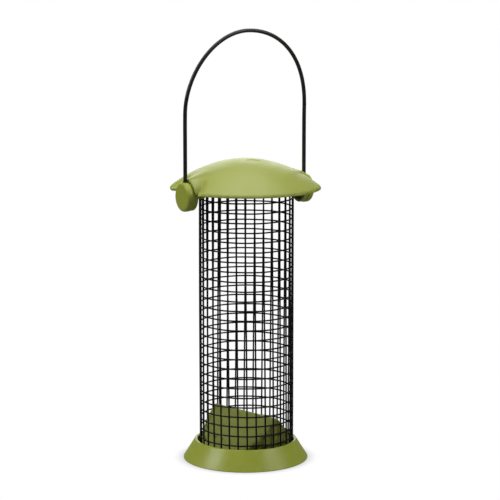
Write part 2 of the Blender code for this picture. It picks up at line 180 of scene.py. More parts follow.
def addNode(tree, kind, links=(), **values):
    # a node with its settings, its input values and the links into it
    node = tree.nodes.new(kind)
    inputs = values.pop("inputs", {})
    for key, value in values.items():
        setattr(node, key, value)
    for key, value in inputs.items():
        node.inputs[key].default_value = value
    for key, source in links:
        tree.links.new(source, node.inputs[key])
    return node


def newGroup(name, inputs, outputs):
    # an empty shader group with its sockets
    group = bpy.data.node_groups.new(name, "ShaderNodeTree")
    for label, kind, value in inputs:
        socket = group.interface.new_socket(label, in_out="INPUT", socket_type=kind)
        socket.default_value = value
    for label, kind in outputs:
        group.interface.new_socket(label, in_out="OUTPUT", socket_type=kind)
    return group, group.nodes.new("NodeGroupInput"), group.nodes.new("NodeGroupOutput")


def mouldedSkinGroup():
    # pigment clouds, a second tone where the piece's mask attribute is high (painted shade on the lid's rim
    # and on the roof's outer wall, paler edges on the foot, rub with a painted highlight on the knobs' front
    # edges), uneven gloss and a fine mould grain
    number, colour = "NodeSocketFloat", "NodeSocketColor"
    group, given, result = newGroup("mouldedSkin", [
        ("Pigment", colour, (0.4, 0.45, 0.1, 1)), ("Retint", colour, (0.5, 0.55, 0.2, 1)),
        ("Deep", colour, (0.3, 0.35, 0.06, 1)), ("Cloud", number, 30.0), ("Grain", number, 2600.0),
        ("Gloss", number, 0.42), ("RetintStrength", number, 0.5)],
        [("Colour", colour), ("Roughness", number), ("Height", number)])
    place = addNode(group, "ShaderNodeTexCoord")
    cloud = addNode(group, "ShaderNodeTexNoise", [("Vector", place.outputs["Object"]),
                    ("Scale", given.outputs["Cloud"])], inputs={"Detail": 3.0, "Roughness": 0.55})
    cloudMask = addNode(group, "ShaderNodeMapRange", [("Value", cloud.outputs["Fac"])],
                        inputs={"From Min": 0.3, "From Max": 0.7})
    base = addNode(group, "ShaderNodeMix", [("Factor", cloudMask.outputs["Result"]),
                   ("A", given.outputs["Deep"]), ("B", given.outputs["Pigment"])], data_type="RGBA")
    retintMask = addNode(group, "ShaderNodeAttribute", attribute_name="retintMask")
    retintNoise = addNode(group, "ShaderNodeTexNoise", [("Vector", place.outputs["Object"])],
                  inputs={"Scale": 240.0, "Detail": 5.0, "Roughness": 0.65})
    retintNoiseMask = addNode(group, "ShaderNodeMapRange", [("Value", retintNoise.outputs["Fac"])],
                      inputs={"From Min": 0.3, "From Max": 0.6})
    retintPatches = addNode(group, "ShaderNodeMath", [(0, retintMask.outputs["Fac"]), (1, retintNoiseMask.outputs["Result"])],
                   operation="MULTIPLY")
    retintAmount = addNode(group, "ShaderNodeMath", [(0, retintPatches.outputs[0]), (1, given.outputs["RetintStrength"])],
                         operation="MULTIPLY")
    tinted = addNode(group, "ShaderNodeMix", [("Factor", retintAmount.outputs[0]),
                     ("A", base.outputs["Result"]), ("B", given.outputs["Retint"])], data_type="RGBA")
    grain = addNode(group, "ShaderNodeTexNoise", [("Vector", place.outputs["Object"]),
                    ("Scale", given.outputs["Grain"])], inputs={"Detail": 2.0, "Roughness": 0.5})
    patch = addNode(group, "ShaderNodeTexNoise", [("Vector", place.outputs["Object"])],
                    inputs={"Scale": 85.0, "Detail": 4.0})
    sheen = addNode(group, "ShaderNodeMapRange", [("Value", patch.outputs["Fac"])],
                    inputs={"From Min": 0.3, "From Max": 0.7, "To Min": -0.05, "To Max": 0.05})
    gloss = addNode(group, "ShaderNodeMath", [(0, sheen.outputs["Result"]), (1, given.outputs["Gloss"])],
                    operation="ADD")
    glossRetinted = addNode(group, "ShaderNodeMath", [(0, retintAmount.outputs[0]), (1, gloss.outputs[0]),
                        (2, gloss.outputs[0])], operation="MULTIPLY_ADD")
    group.links.new(tinted.outputs["Result"], result.inputs["Colour"])
    group.links.new(glossRetinted.outputs[0], result.inputs["Roughness"])
    group.links.new(grain.outputs["Fac"], result.inputs["Height"])
    return group


mouldedSkin = mouldedSkinGroup()
mould = {"grainDepth": 0.006, "grainStrength": 0.35, "ior": 1.49}


def plastic(name, pigment, retint, deep, gloss, retintStrength, shine):
    # moulded plastic: the shared skin gives its colour, roughness and grain
    finish = bpy.data.materials.new(name)
    finish.use_nodes = True
    tree = finish.node_tree
    shader = tree.nodes["Principled BSDF"]
    skin = addNode(tree, "ShaderNodeGroup", node_tree=mouldedSkin, inputs={
        "Pigment": (*pigment, 1), "Retint": (*retint, 1), "Deep": (*deep, 1), "Gloss": gloss, "RetintStrength": retintStrength})
    bump = addNode(tree, "ShaderNodeBump", [("Height", skin.outputs["Height"])],
                   inputs={"Strength": mould["grainStrength"], "Distance": mould["grainDepth"] * mm})
    tree.links.new(skin.outputs["Colour"], shader.inputs["Base Color"])
    tree.links.new(skin.outputs["Roughness"], shader.inputs["Roughness"])
    tree.links.new(bump.outputs["Normal"], shader.inputs["Normal"])
    shader.inputs["IOR"].default_value = mould["ior"]
    shader.inputs["Specular IOR Level"].default_value = shine
    return finish


def dippedCoat(name, colour, dust, gloss, shine):
    # black dip coat: slow thickness waves, a dusty bloom in patches and a low satin gloss
    finish = bpy.data.materials.new(name)
    finish.use_nodes = True
    tree = finish.node_tree
    shader = tree.nodes["Principled BSDF"]
    place = addNode(tree, "ShaderNodeTexCoord")
    bloom = addNode(tree, "ShaderNodeTexNoise", [("Vector", place.outputs["Object"])],
                    inputs={"Scale": 180.0, "Detail": 4.0, "Roughness": 0.6})
    bloomMask = addNode(tree, "ShaderNodeMapRange", [("Value", bloom.outputs["Fac"])],
                        inputs={"From Min": 0.38, "From Max": 0.72})
    tint = addNode(tree, "ShaderNodeMix", [("Factor", bloomMask.outputs["Result"])], data_type="RGBA",
                   inputs={"A": (*colour, 1), "B": (*dust, 1)})
    satin = addNode(tree, "ShaderNodeMapRange", [("Value", bloom.outputs["Fac"])],
                    inputs={"From Min": 0.3, "From Max": 0.7, "To Min": gloss - 0.06, "To Max": gloss + 0.1})
    runs = addNode(tree, "ShaderNodeTexNoise", [("Vector", place.outputs["Object"])],
                   inputs={"Scale": 900.0, "Detail": 2.0})
    bump = addNode(tree, "ShaderNodeBump", [("Height", runs.outputs["Fac"])],
                   inputs={"Strength": 0.4, "Distance": 0.05 * mm})
    tree.links.new(tint.outputs["Result"], shader.inputs["Base Color"])
    tree.links.new(satin.outputs["Result"], shader.inputs["Roughness"])
    shader.inputs["Specular IOR Level"].default_value = shine
    tree.links.new(bump.outputs["Normal"], shader.inputs["Normal"])
    return finish


# the lid's second tone is darker than its pigment: painted shade along the rim's outer edge
lidPlastic = plastic("lidPlastic", pigment=(0.36, 0.403, 0.074), retint=(0.22, 0.25, 0.02),
                     deep=(0.345, 0.389, 0.068), gloss=0.41, retintStrength=0.9, shine=0.52)
# the body's second tone is paler than its pigment: paler edges on the foot, and on the knobs' front edges rub
# with a painted highlight
bodyPlastic = plastic("bodyPlastic", pigment=(0.35, 0.405, 0.04), retint=(0.45, 0.49, 0.12),
                      deep=(0.335, 0.39, 0.036), gloss=0.29, retintStrength=0.3, shine=0.4)
# the roof's second tone is dark brown: painted shade on its outer wall and underside
roofPlasticWithPaintedShade = plastic("roofPlasticWithPaintedShade", pigment=(0.365, 0.412, 0.088), retint=(0.13, 0.115, 0.012),
                       deep=(0.33, 0.38, 0.065), gloss=0.5, retintStrength=0.8, shine=0.4)
blackCoat = dippedCoat("blackCoat", colour=(0.004, 0.004, 0.0042), dust=(0.009, 0.0088, 0.0088),
                       gloss=0.4, shine=0.15)
handleCoat = dippedCoat("handleCoat", colour=(0.005, 0.005, 0.0052), dust=(0.010, 0.0098, 0.0098),
                        gloss=0.34, shine=0.55)
print("finishes made")


def place(piece, finish, body, *nodes):
    # gives a piece its finish, its body and the solids it stands for
    piece.data.materials.clear()
    piece.data.materials.append(finish)
    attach(piece, body)
    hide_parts(*nodes)
    return piece


drillBit = {"samples": 8, "sides": 24, "soften": 0.01}


def cutHoles(piece, name, starts, ends, radius):
    # straight round holes through a piece, one Boolean for all of them
    lines = np.stack([np.array(starts, float), np.array(ends, float)], 1)
    t = np.linspace(0, 1, drillBit["samples"])[:, None]
    paths = lines[:, None, 0] * (1 - t) + lines[:, None, 1] * t
    drill = wireBundle(name, paths * mm, radius * mm, drillBit["sides"], drillBit["soften"] * mm)
    step = piece.modifiers.new("holes", "BOOLEAN")
    step.operation = "DIFFERENCE"
    step.solver = "EXACT"
    step.object = drill
    graph = bpy.context.evaluated_depsgraph_get()
    done = bpy.data.meshes.new_from_object(piece.evaluated_get(graph))
    piece.modifiers.clear()
    piece.data = done
    bpy.data.objects.remove(drill, do_unlink=True)


# Lid: a thin dome with two hoods, two knob slots and a turned-down rim

lid = {
    "radius": 50.2, "crown": 203.5, "drop": 18.4, "wall": 1.9, "rimZ": 184.4, "rimWidth": 2.0,
    "hoodReach": 43.9, "hoodEnd": 11.45, "hoodTaper": 17.0, "hoodStart": 31.0, "hoodFade": 0.2,
    "hoodBlend": 0.9,
    "corners": [(43.9, 11.0), (41.5, 11.95), (46.5, 18.9)],  # of the knob slot: hood's end, valley, rim
    "cornerBlur": 1.8, "cornerSpread": 0.8, "cornerSamples": 13,  # degrees of the running mean over them
    "rollTo": 184.8, "rollWidth": 2.8, "rollEase": (-0.7, 0.05), "slotEdge": 0.7, "edgeDepth": 6.0,
    # the band in from the rim's edge that is painted darker: painted shade
    "rimEase": (-0.02, 0.06), "rimRounds": [0, 1.35, 0.2, 0.3, 0.1, 0], "retint": (1.3, 0.2), "sharp": 50.0,
    "dish": (1.3, -8.3, 4.9, 0.5), "dishEdge": (1.2, 0.4),  # gate dish: x, y, radius, depth
    "sinkRadius": 26.7, "sinkDepth": 0.05, "sinkWidth": 1.1,  # sink mark over the plug ring
    "columns": (14, 8, 16, 62), "domeRows": 52, "edgeRows": 70,
}


def domeHeight(r):
    # a paraboloid: the crown less the drop times (r / radius) squared
    return lid["crown"] - lid["drop"] * (r / lid["radius"]) ** 2


def rolledDome(x, y):
    # the dome, rolled down to the rim's level along the slanting edge from the valley to the rim
    dome = domeHeight(np.hypot(x, y))
    (startX, startY), (endX, endY) = lid["corners"][1:]
    long = math.hypot(endX - startX, endY - startY)
    dirX, dirY = (endX - startX) / long, (endY - startY) / long
    offX, offY = np.abs(x) - startX, np.abs(y) - startY
    inside = np.maximum(offY * dirX - offX * dirY, 0)
    along = (offX * dirX + offY * dirY) / long
    near = np.exp(-(inside / lid["rollWidth"]) ** 2) * smooth(*lid["rollEase"], along)
    return dome - np.maximum(dome - lid["rollTo"], 0) * near


def lidTop(x, y):
    # hood: a cone along the bail's axis, joined to the dome by a smooth maximum
    # then the gate dish and the sink mark are taken off
    dome = rolledDome(x, y)
    cone = lid["hoodEnd"] + (lid["hoodReach"] - np.abs(x)) * math.tan(math.radians(lid["hoodTaper"]))
    hood = pivotZ + np.sqrt(np.maximum(cone ** 2 - y ** 2, 0))
    hood = hood - lid["hoodFade"] * np.maximum(lid["hoodStart"] - np.abs(x), 0) ** 2
    top = (dome + hood + np.sqrt((dome - hood) ** 2 + lid["hoodBlend"] ** 2)) / 2
    dishX, dishY, dishR, dishDeep = lid["dish"]
    away = np.hypot(x - dishX, y - dishY)
    inEdge, outEdge = lid["dishEdge"]
    top = top - dishDeep * (1 - smooth(dishR - inEdge, dishR + outEdge, away))
    fromSink = (np.hypot(x, y) - lid["sinkRadius"]) / lid["sinkWidth"]
    return top - lid["sinkDepth"] * np.exp(-fromSink ** 2)


def lidReach(turn):
    # distance from the axis to the lid's outline, and the angles of the slot's corners
    # the outline is straight lines between the slot's corners, then the round rim
    side = np.arctan2(np.abs(np.sin(turn)), np.abs(np.cos(turn)))
    corners = np.array([(lid["hoodReach"], 0)] + lid["corners"])
    limits = np.arctan2(corners[1:, 1], corners[1:, 0])
    step = np.diff(corners, axis=0)
    across = corners[:-1, 0] * step[:, 1] - corners[:-1, 1] * step[:, 0]
    lines = across / (np.cos(side)[..., None] * step[:, 1] - np.sin(side)[..., None] * step[:, 0])
    return np.select([side < limits[0], side < limits[1], side < limits[2]],
                     [lines[..., 0], lines[..., 1], lines[..., 2]], lid["radius"]), limits


def edgeOutline(corners, radii):
    # an open outline: the soft corners of a polygon between its first and last point, spread evenly
    return evenly(softCorners(corners, radii), lid["edgeRows"])


def makeLid():
    # rows run from the crown out along the top, round the edge and back along the underside
    wall, edge, deep = lid["wall"], lid["slotEdge"], lid["edgeDepth"]
    limits = lidReach(np.zeros(1))[1]
    stops = [0, *limits, np.pi / 2]
    quarter = np.concatenate([np.linspace(first, last, count, endpoint=False)
                              for first, last, count in zip(stops, stops[1:], lid["columns"])])
    half = np.concatenate([quarter, np.pi - np.append(quarter, np.pi / 2)[:0:-1]])
    turn = np.concatenate([half, half + np.pi])
    blur = np.radians(np.linspace(-lid["cornerBlur"], lid["cornerBlur"], lid["cornerSamples"]))
    weight = np.exp(-(blur / math.radians(lid["cornerSpread"])) ** 2)
    reach = lidReach(turn[:, None] + blur)[0] @ (weight / weight.sum())
    side = np.arctan2(np.abs(np.sin(turn)), np.abs(np.cos(turn)))
    isRim = smooth(limits[2] + lid["rimEase"][0], limits[2] + lid["rimEase"][1], side)
    lipR = lid["radius"] - lid["rimWidth"]
    # edge outlines: distance in from the lid's outline and height over the dome, out on top and back under
    rim = edgeOutline(
        [(deep, 0), (0, 0), (0, lid["rimZ"] - domeHeight(lid["radius"])),
         (lid["rimWidth"], lid["rimZ"] - domeHeight(lipR)), (lid["rimWidth"], -wall), (deep, -wall)],
        lid["rimRounds"])
    slot = edgeOutline([(deep, 0), (0, 0), (0, -wall), (deep, -wall)], [0, edge, edge, 0])
    shape = slot[:, None] * (1 - isRim[:, None]) + rim[:, None] * isRim[:, None]
    grow = np.linspace(0, 1, lid["domeRows"])[:, None]
    disc = grow * (reach - deep)
    r = np.concatenate([disc, (reach - shape[..., 0])[1:-1], disc[::-1]])
    lower = np.concatenate([0 * disc, shape[1:-1, :, 1], 0 * disc - wall])
    x, y = r * np.cos(turn), r * np.sin(turn)
    z = lidTop(x, y) + lower
    # the rim's outer edge takes the darker second tone: painted shade where the rim turns down
    retintMask = smooth(lid["radius"] - lid["retint"][0], lid["radius"] - lid["retint"][1], r) * isRim
    points = np.stack([x, y, z], -1) * mm
    faces = gridFaces(*points.shape[:2], False, True)
    shell = putMesh("lidShell", points, faces, sharpAngle=lid["sharp"], retintMask=retintMask)
    return place(shell, lidPlastic, "lid", "lid")


lidPlug = {
    "inner": 26.0, "outer": 27.6, "bottom": 182.2, "seat": 188.6, "seatOuter": 32.5, "steps": 160,
    "sunk": 0.6, "rounds": [0, 0.35, 0.5, 0.3, 0.3, 0],  # sunk: share of the dome's wall that it reaches into
}


def makeLidPlug():
    # spigot ring and seat under the dome, turned
    p = lidPlug
    sunk = lid["wall"] * p["sunk"]
    outline = softCorners(
        [(p["inner"], domeHeight(p["inner"]) - sunk), (p["inner"], p["bottom"]), (p["outer"], p["bottom"]),
         (p["outer"], p["seat"]), (p["seatOuter"], p["seat"]),
         (p["seatOuter"], domeHeight(p["seatOuter"]) - sunk)],
        p["rounds"])
    points = turned(outline, p["steps"]) * mm
    ring = putMesh("lidPlug", points, gridFaces(*points.shape[:2], True, True))
    return place(ring, lidPlastic, "lid", "lid")


endWall = {
    "near": 38.1, "far": 39.95, "half": 12.15, "notchHalf": 4.1, "notchTop": 185.1, "edge": 0.3,
    "notchSlant": 0.15, "sideStrips": 18, "notchStrips": 11,
}


def makeEndWall(name, side):
    # a plate behind the knob in upright strips
    # each runs from the rim, or from the notch over the stub, into the shell
    w = endWall
    out, notch, e = w["half"], w["notchHalf"], w["edge"]
    sideY = np.linspace(-out, -notch - w["notchSlant"], w["sideStrips"])
    notchY = np.linspace(-notch, notch, w["notchStrips"])
    y = np.concatenate([[-out], sideY, notchY, -sideY[::-1], [out]])[:, None]
    low = np.where(np.abs(y) > notch + w["notchSlant"] / 2, lid["rimZ"], w["notchTop"])
    x = np.array([w["near"], w["near"], w["near"] + e, w["far"] - e, w["far"], w["far"]])
    top = lidTop(x, y) - lid["wall"] / 2
    lift = np.array([0, e, 0, 0, e, 0])
    z = np.where([True, False, False, False, False, True], top, low + lift)
    x = x + 0 * y
    x[[0, -1]] = (w["near"] + w["far"]) / 2
    z[[0, -1]] = (z[[1, -2], :1] + z[[1, -2], 2:3]) / 2
    points = np.stack([side * x, y + 0 * x, z], -1) * mm
    piece = putMesh(name, points, gridFaces(*points.shape[:2], False, True))
    return place(piece, lidPlastic, "lid", "lid")


makeLid()
makeLidPlug()
makeEndWall("endWallLeft", -1)
makeEndWall("endWallRight", 1)
print("lid made")


# Bail: one bent wire with a round knob on each end

knob = {
    "inner": 40.6, "thick": 7.8, "radius": 9.65, "faceRound": 1.9, "step": 0.35, "stepAt": 4.2,
    "wireAt": 3.0, "bore": 2.4, "faceWall": 1.9, "socket": 1.48, "socketFloor": 4.55,
    "rimWall": 1.5, "hollow": 2.6, "hub": 3.9,  # of the open back
    "rounds": [0.2, 0.15, 0.6, 0.4, 0.4, 0.4, 0.25, 0.25, 0.3, 0],  # from the step on
    # the band on the knob's front edge that takes the paler tone: rub with a painted highlight
    "retint": (0.3, 0.2), "faceRings": (0.25, 0.5, 0.7), "arcSteps": 8, "steps": 128,
}
bail = {
    "radius": 1.3, "reach": 45.4, "start": 185.85, "springZ": 236.0, "rise": 52.15, "squareness": (1.9, 2.15),
    "lean": 1.6, "leanFrom": 226.0, "arcSamples": 400, "samples": 260, "sides": 20, "soften": 0.5,
}


def makeKnob(name, side, node):
    # a disc turned about X: round front edge, a shallow step behind it, an open back round a hub
    # the hub has a blind bore, and the wire's socket is drilled from the side
    k = knob
    r, t, s = k["radius"], k["thick"], k["step"]
    outline = softCorners(
        [(0, t), (r, t), (r, t - k["stepAt"]), (r - s, t - k["stepAt"]), (r - s, 0),
         (r - s - k["rimWall"], 0), (r - s - k["rimWall"], k["hollow"]), (k["hub"], k["hollow"]),
         (k["hub"], 0), (k["bore"], 0), (k["bore"], t - k["faceWall"]), (0, t - k["faceWall"])],
        [0, k["faceRound"], *k["rounds"]], steps=k["arcSteps"])
    outline = np.insert(outline, k["arcSteps"], [(r * share, t) for share in k["faceRings"]], axis=0)
    grid = turned(outline, k["steps"])
    points = np.stack([side * (k["inner"] + grid[..., 2]), grid[..., 0], pivotZ + grid[..., 1]], -1) * mm
    fromAxis = np.hypot(grid[..., 0], grid[..., 1])
    # the front edge takes the paler second tone: rub with a painted highlight
    front = smooth(r - k["faceRound"] - k["retint"][0], r - k["retint"][1], fromAxis)
    piece = putMesh(name, points, gridFaces(*points.shape[:2], True, True), retintMask=front)
    middle = side * (k["inner"] + t - k["wireAt"])
    cutHoles(piece, name + "Drill", [(middle, 0, pivotZ + k["socketFloor"])],
             [(middle, 0, pivotZ + 2 * r)], k["socket"])
    return place(piece, bodyPlastic, "bail", node)


def makeBailWire():
    # straight legs, then |x / reach|^n + |z / rise|^n = 1
    # it leans a little at the top, as a hand-bent wire does
    b = bail
    turn = np.linspace(np.pi, 0, b["arcSamples"])
    bent = 2 / np.where(np.cos(turn) < 0, *b["squareness"])  # the left shoulder is bent in more
    arcX = np.sign(np.cos(turn)) * np.abs(np.cos(turn)) ** bent * b["reach"]
    arcZ = b["springZ"] + b["rise"] * np.maximum(np.sin(turn), 0) ** bent
    arch = np.stack([arcX, arcZ], -1)
    line = np.concatenate([[(-b["reach"], b["start"])], arch, [(b["reach"], b["start"])]])
    line = evenly(line, b["samples"])
    sway = b["lean"] * smooth(b["leanFrom"], b["springZ"] + b["rise"], line[:, 1])
    path = np.stack([line[:, 0] + sway, 0 * sway, line[:, 1]], -1)[None] * mm
    piece = wireBundle("bailWire", path, b["radius"] * mm, b["sides"], b["soften"] * mm)
    return place(piece, handleCoat, "bail", "handle_wire")


makeKnob("knobLeft", -1, "knob_left")
makeKnob("knobRight", 1, "knob_right")
makeBailWire()
print("bail made")


# Wire tube: a welded sheet rolled up and lapped at the seam

tube = {
    "uprights": 32, "firstTurn": -31.85, "pitchTurn": 11.4, "uneven": 1.25, "unevenAt": -30.0,
    "twist": 0.0167, "twistZ": 120.0, "ringRadius": 30.6, "uprightRadius": 0.57, "bottom": 6.3, "top": 186.2,
    "hoops": 28, "hoopRadius": 30.6, "hoopWire": 0.51, "firstHoop": 8.5, "pitch": 6.5, "hoopPast": 5.0,
    "lapStart": 0.95, "lapEase": 0.03, "lapOut": 0.1, "lapRise": 0.5, "stub": 0.12, "stubShare": 0.012,
    "wave": 0.07, "bowLength": 31.0, "ripples": 7, "rippleOut": 0.4, "phases": 6.0, "bulge": 1.1,
    "endScatter": 0.6, "hoopScatter": 0.05,  # degrees of the cut ends, millimetres of height
    "doubled": 96.6,  # where a second upright lies against the first
    "uprightSamples": 72, "uprightSides": 10, "uprightSoften": 0.3,
    "hoopSamples": 150, "hoopSides": 8, "hoopSoften": 0.25,
}


def bulge(angle):
    # the roll stands out a little on the side where the sheet laps
    return tube["bulge"] * np.maximum(np.cos(angle - math.radians(tube["unevenAt"])), 0)


def makeUprights():
    # wires from the sheet's one edge to the other, and one doubled wire
    # the roll is slightly out of round and twisted, and each wire bows
    t = tube
    turn = t["firstTurn"] + t["pitchTurn"] * np.arange(t["uprights"])
    turn = np.radians(np.append(turn, t["doubled"]))[:, None]
    turn = turn + math.radians(t["uneven"]) * np.sin(turn - math.radians(t["unevenAt"]))
    height = np.linspace(t["bottom"], t["top"], t["uprightSamples"])
    bow = dice.normal(0, t["wave"], (2, len(turn), 1))
    bow = bow * np.sin(height / t["bowLength"] + dice.uniform(0, t["phases"], (len(turn), 1)))
    radius = t["ringRadius"] + bow[0] + bulge(turn)
    angle = turn + bow[1] / t["ringRadius"] + np.radians(t["twist"]) * (t["twistZ"] - height)
    paths = np.stack([radius * np.cos(angle), radius * np.sin(angle), height + 0 * angle], -1) * mm
    piece = wireBundle("meshUprights", paths, t["uprightRadius"] * mm, t["uprightSides"],
                       t["uprightSoften"] * mm)
    return place(piece, blackCoat, "feeder_body", "mesh_uprights")


def makeHoops():
    # each hoop runs once round and a little past its own start, where it lies over it
    # both cut ends spring out a little
    t = tube
    share = np.linspace(0, 1, t["hoopSamples"])
    number = np.arange(t["hoops"])[:, None]
    middle = t["firstHoop"] + t["pitch"] * number
    ends = dice.normal(0, t["endScatter"], (2, t["hoops"], 1))
    start = t["firstTurn"] - t["hoopPast"] + ends[0] + t["twist"] * (t["twistZ"] - middle)
    sweep = t["pitchTurn"] * (t["uprights"] - 1) + 2 * t["hoopPast"] + ends[1]
    angle = np.radians(start + sweep * share)
    lap = smooth(t["lapStart"], t["lapStart"] + t["lapEase"], share)
    spring = t["stub"] * (smooth(t["stubShare"], 0, share) + smooth(1 - t["stubShare"], 1, share))
    ripple = t["wave"] * np.sin(angle * t["ripples"] + dice.uniform(0, t["phases"], (t["hoops"], 1)))
    radius = t["hoopRadius"] + spring + t["rippleOut"] * ripple + t["lapOut"] * lap + bulge(angle)
    height = middle + t["lapRise"] * lap + ripple + dice.normal(0, t["hoopScatter"], (t["hoops"], 1))
    paths = np.stack([radius * np.cos(angle), radius * np.sin(angle), height + 0 * angle], -1) * mm
    piece = wireBundle("meshHoops", paths, t["hoopWire"] * mm, t["hoopSides"], t["hoopSoften"] * mm)
    return place(piece, blackCoat, "feeder_body", "mesh_hoops")


makeUprights()
makeHoops()
print("wire tube made")


# Foot: a turned cone with a socket for the tube

foot = {
    "radius": 42.0, "lip": 0.5, "height": 13.0, "rimOuter": 34.2, "socket": 32.5, "ledge": 6.0,
    "ledgeInner": 26.5, "ledgeUnder": 4.0, "innerWall": 34.3, "skirtInner": 39.4,
    "rounds": [0.2, 0.3, 0.55, 0.45, 0.4, 0.3, 0.3, 0.4, 0.3, 0.15, 0.15],
    "rubbedTop": 0.6, "rubbedSide": 0.8, "arcSteps": 7, "steps": 192,
}


def makeFoot():
    # the outline runs up the cone, over the rim, down into the socket and back under the skirt
    f = foot
    fall = (f["radius"] - f["rimOuter"]) / (f["height"] - f["lip"])
    meetZ = f["lip"] + (f["skirtInner"] - f["innerWall"]) / fall
    outline = softCorners(
        [(f["radius"], 0), (f["radius"], f["lip"]), (f["rimOuter"], f["height"]), (f["socket"], f["height"]),
         (f["socket"], f["ledge"]), (f["ledgeInner"], f["ledge"]), (f["ledgeInner"], f["ledgeUnder"]),
         (f["innerWall"], f["ledgeUnder"]), (f["innerWall"], meetZ), (f["skirtInner"], f["lip"]),
         (f["skirtInner"], 0)],
        f["rounds"], steps=f["arcSteps"])
    points = turned(outline, f["steps"]) * mm
    r, height = outline[:, 0, None], outline[:, 1, None]
    topEdge = smooth(f["height"] - f["rubbedTop"], f["height"], height)
    sideEdge = smooth(f["radius"] - f["rubbedSide"], f["radius"], r)
    retintMask = np.maximum(topEdge, sideEdge) * np.ones(points.shape[:2])
    piece = putMesh("footCone", points, gridFaces(*points.shape[:2], True, True), retintMask=retintMask)
    return place(piece, bodyPlastic, "feeder_body", "base_foot")


makeFoot()
print("foot made")


# Divider: a ridged roof over the floor plate, open underneath, with drain holes in both slopes

divider = {
    "radius": 29.7, "ridgeZ": 31.6, "ridgeRound": 2.0, "ridgeTurn": -76.0, "slope": 45.0, "wall": 1.6,
    "floorUnder": 6.3, "floorTop": 8.0, "plugOuter": 26.2, "plugInner": 24.6, "plugBottom": 3.3, "edge": 0.5,
    "floorBlend": 0.6, "hollowBlend": 0.3, "leadIn": (4, 9), "leadPoints": 7,
    # the last few roof rows next to the outer wall take part of the painted shade
    "rounds": [0, 0.3, 0.2, 0.4, 0.4, 0], "paintedShadeRows": 3, "paintedShadeEdge": 0.5,
    "drains": 4, "drainRadius": 0.8, "drainOut": 17.7, "drainPitch": 7.2, "sharp": 42.0,
    "columns": 260, "crowding": 0.42, "topRows": 60, "bendRows": 7, "wallRows": 14, "underRows": 40,
}


def roofHeight(x, y, lower, roundness):
    # the ridge's height less the slope times the distance from the ridge line, with a circular crest
    d = divider
    turn = math.radians(d["ridgeTurn"])
    away = np.abs(-x * math.sin(turn) + y * math.cos(turn))
    fall = math.tan(math.radians(d["slope"]))
    crestHalf = roundness * math.sin(math.radians(d["slope"]))
    crest = np.sqrt(np.maximum(roundness ** 2 - np.minimum(away, crestHalf) ** 2, 0)) - roundness
    return d["ridgeZ"] - lower + crest - fall * np.maximum(away - crestHalf, 0)


def makeDivider():
    # rows run from the middle out over the roof, down the outer wall, in under the floor and up the hollow
    d = divider
    s = np.linspace(0, 2 * np.pi, d["columns"], endpoint=False)
    ridge = math.radians(d["ridgeTurn"])
    turn = ridge + s - d["crowding"] * np.sin(2 * s)  # columns crowd towards the ridge
    cos, sin = np.cos(turn), np.sin(turn)
    flat = (d["radius"] - d["edge"]) * np.linspace(0, 1, d["topRows"])
    bend = np.linspace(0, np.pi / 2, d["bendRows"])[1:]
    topR = np.concatenate([flat, d["radius"] - d["edge"] * (1 - np.sin(bend))])[:, None]
    ease = np.concatenate([0 * flat, d["edge"] * (1 - np.cos(bend))])[:, None]
    roof = roofHeight(topR * cos, topR * sin, 0, d["ridgeRound"])
    topZ = (roof + d["floorTop"] + np.sqrt((roof - d["floorTop"]) ** 2 + d["floorBlend"] ** 2)) / 2 - ease
    wallShare = np.linspace(0, 1, d["wallRows"])[1:-1, None]
    wallZ = topZ[-1] * (1 - wallShare) + d["floorUnder"] * wallShare
    under = softCorners(  # a helping point outside starts it and is left out with the next arc's first point
        [(d["radius"] + d["leadIn"][0], d["floorUnder"] + d["leadIn"][1]), (d["radius"], d["floorUnder"]),
         (d["plugOuter"], d["floorUnder"]), (d["plugOuter"], d["plugBottom"]),
         (d["plugInner"], d["plugBottom"]), (d["plugInner"], d["floorUnder"])],
        d["rounds"])[d["leadPoints"]:]
    hollowR = d["plugInner"] * np.linspace(1, 0, d["underRows"])[:, None]
    thick = d["wall"] / math.cos(math.radians(d["slope"]))
    hollow = roofHeight(hollowR * cos, hollowR * sin, thick, d["ridgeRound"] / 2)
    overFloor = np.sqrt((hollow - d["floorUnder"]) ** 2 + d["hollowBlend"] ** 2)
    hollowZ = (hollow + d["floorUnder"] + overFloor) / 2
    r = np.concatenate([topR, d["radius"] + 0 * wallShare, under[:, :1], hollowR])
    z = np.concatenate([topZ, wallZ, under[:, 1:] + 0 * cos, hollowZ])
    points = np.stack([r * cos, r * sin, z], -1) * mm
    paintedShade = np.zeros(points.shape[:2])  # the outer wall and what is under it are painted darker and browner: painted shade
    paintedShade[len(topR) - d["paintedShadeRows"]:len(topR)] = d["paintedShadeEdge"]
    paintedShade[len(topR):-len(hollowR)] = 1
    faces = gridFaces(*points.shape[:2], False, True)
    piece = putMesh("seedRoof", points, faces, sharpAngle=d["sharp"], retintMask=paintedShade)
    along = np.tile((np.arange(d["drains"]) - (d["drains"] - 1) / 2) * d["drainPitch"], 2)
    out = np.repeat([-d["drainOut"], d["drainOut"]], d["drains"])
    x = along * math.cos(ridge) - out * math.sin(ridge)
    y = along * math.sin(ridge) + out * math.cos(ridge)
    cutHoles(piece, "roofDrill", np.stack([x, y, 0 * x + d["floorUnder"] - 1], -1),
             np.stack([x, y, 0 * x + d["ridgeZ"]], -1), d["drainRadius"])
    return place(piece, roofPlasticWithPaintedShade, "feeder_body", "seed_divider")


makeDivider()
print("divider made")


# Collar: a channel ring on the tube's top, with an ear and a pivot stub on each side

